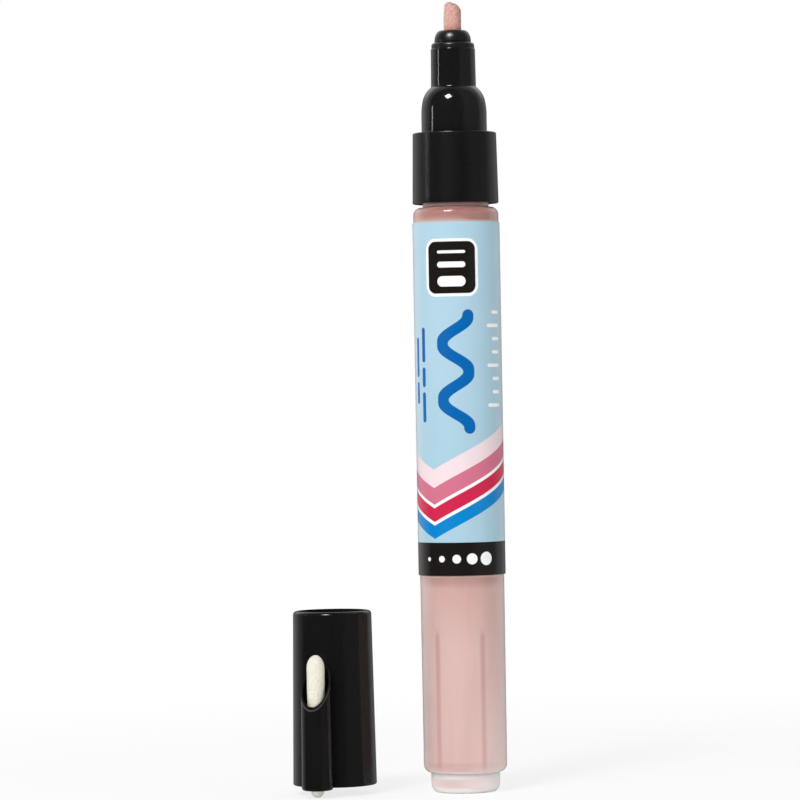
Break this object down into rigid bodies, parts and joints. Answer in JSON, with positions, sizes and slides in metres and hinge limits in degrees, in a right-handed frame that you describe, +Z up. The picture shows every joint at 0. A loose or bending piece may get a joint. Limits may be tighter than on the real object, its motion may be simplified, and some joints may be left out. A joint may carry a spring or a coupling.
{
  "type": "felt-tip pen",
  "caption": "Valve-action felt-tip paint marker standing on its tail, with its cap off beside it and a spare nib held in a tube on the cap.",
  "frame": {"origin": "centre of the flat face of the tail that the pen stands on", "axes": "+Z up along the pen's axis, toward the nib; -Y toward the front of the label; the cap stands toward -X"},
  "size_m": [0.0377, 0.0189, 0.1377],
  "materials": {
    "barrel_plastic": "translucent, with paint behind it",
    "label_film": "printed film",
    "tail_plastic": "translucent natural plastic",
    "collar_black": "satin black",
    "nose_black": "gloss black",
    "cap_black": "gloss black",
    "wet_felt": "felt soaked with paint",
    "dry_felt": "dry felt",
    "gasket": "soft black",
    "valve_plastic": "natural white",
    "spring_steel": "drawn wire",
    "ball_steel": "polished"
  },
  "bodies": {
    "pen": {"barrel": "barrel_plastic", "label": "label_film", "tail_plug": "tail_plastic", "collar": "collar_black", "nose": "nose_black", "nib_bush": "nose_black", "neck_seal": "gasket", "valve_housing": "valve_plastic", "valve_spring": "spring_steel"},
    "valve": {"valve_stem": "valve_plastic"},
    "writing_nib": {"nib": "wet_felt"},
    "ball": {"mixing_ball": "ball_steel"},
    "loose_cap": {"cap": "cap_black", "inner_cap": "valve_plastic"},
    "reserve_nib": {"spare_nib": "dry_felt"}
  },
  "joints": [
    {"name": "valve_press", "type": "slide", "parent": "pen", "child": "valve", "axis": [0, 0, -1], "range_m": [0, 0.0015], "stiffness_N_per_m": 475, "springref_m": -0.0015, "deforming": ["valve_spring"]},
    {"name": "nib_pull", "type": "slide", "parent": "valve", "child": "writing_nib", "axis": [0, 0, 1], "range_m": [0, 0.021]},
    {"name": "ball_rattle", "type": "slide", "parent": "pen", "child": "ball", "axis": [0, 0, 1], "range_m": [0, 0.084]},
    {"name": "cap_lift", "type": "slide", "parent": "pen", "child": "loose_cap", "axis": [0, 0, 1], "range_m": [0, 0.15]},
    {"name": "spare_pull", "type": "slide", "parent": "loose_cap", "child": "reserve_nib", "axis": [0, 0, 1], "range_m": [0, 0.024]}
  ]
}
